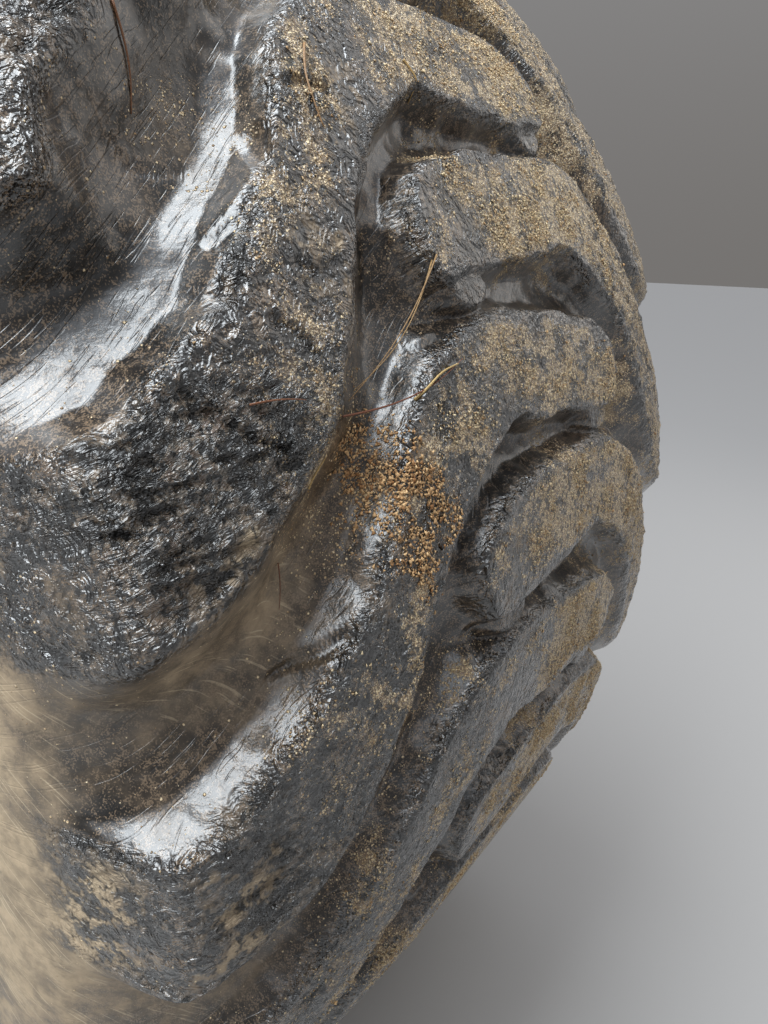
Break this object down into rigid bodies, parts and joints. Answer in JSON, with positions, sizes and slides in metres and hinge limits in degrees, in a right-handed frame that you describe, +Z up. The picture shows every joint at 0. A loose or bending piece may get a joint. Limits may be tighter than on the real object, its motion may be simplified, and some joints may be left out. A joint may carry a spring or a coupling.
{
  "type": "forestry forwarder wheel",
  "caption": "Wide lugged forestry wheel: worn flotation tyre on a deep drop-centre rim, bolted by its disc to a hub that turns on a flanged spindle.",
  "frame": {"origin": "centre of the spindle flange's mounting face, on the wheel's axis", "axes": "+Y along the wheel's axis, inboard, out of the mounting face towards the machine; X along the way the wheel rolls; +Z up"},
  "size_m": [1.34, 0.756, 1.34],
  "materials": {
    "tyre": "worn black rubber, wet satin, with mud and sand",
    "rim_paint": "weathered grey rim paint with mud and rust",
    "hub_paint": "dull dark grey machine paint with mud",
    "spindle_steel": "machined steel under oil and dust",
    "fastener_steel": "dull zinc-plated steel, rust in the corners",
    "valve_brass": "tarnished brass",
    "valve_plastic": "matt black cap"
  },
  "bodies": {
    "spindle_body": {"spindle": "spindle_steel"},
    "wheel": {"tyre": "tyre", "rim_barrel": "rim_paint", "rim_hoop_outer": "rim_paint", "rim_hoop_inner": "rim_paint", "wheel_disc": "rim_paint", "valve_guard": "rim_paint", "hub_drum": "hub_paint", "hub_cover": "hub_paint", "hub_cover_bolts": "fastener_steel", "hub_plugs": "fastener_steel", "wheel_studs": "fastener_steel", "wheel_nuts": "fastener_steel", "valve_stem": "valve_brass", "valve_cap": "valve_plastic"}
  },
  "joints": [
    {"name": "wheel_spin", "type": "hinge", "parent": "spindle_body", "child": "wheel", "pos_m": [0, -0.4, 0], "axis": [0, 1, 0], "continuous": true}
  ]
}
